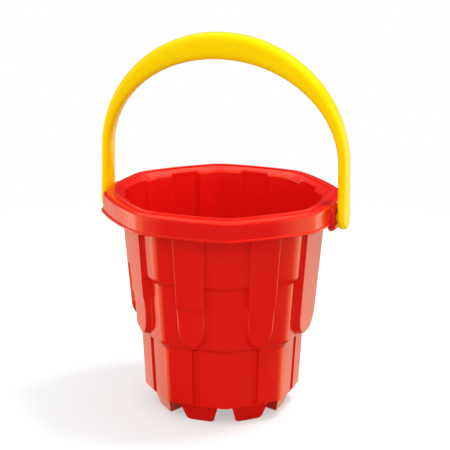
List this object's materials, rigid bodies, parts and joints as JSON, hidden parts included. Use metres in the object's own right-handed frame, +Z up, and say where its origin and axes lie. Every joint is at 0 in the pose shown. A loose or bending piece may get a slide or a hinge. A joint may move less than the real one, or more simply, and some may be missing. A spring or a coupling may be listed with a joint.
{
  "type": "sand bucket",
  "caption": "Eight-sided children's sand bucket shaped like a castle tower, with battlement feet, a skirted rim and a swinging bail handle on snap-in pegs.",
  "frame": {"origin": "middle of the base, on the surface that the feet stand on", "axes": "+Z up out of the bucket's mouth; X along the handle's hinge axis, through the two ears; Y across it, the way the handle swings"},
  "size_m": [0.192, 0.1726, 0.281],
  "materials": {
    "bucket_plastic": "glossy moulded red plastic",
    "handle_plastic": "glossy moulded yellow plastic"
  },
  "bodies": {
    "bucket": {"bucket": "bucket_plastic"},
    "handle": {"handle": "handle_plastic"}
  },
  "joints": [
    {"name": "handle_swing", "type": "hinge", "parent": "bucket", "child": "handle", "pos_m": [0, 0, 0.1525], "axis": [1, 0, 0], "range_deg": [-138, 138]}
  ]
}
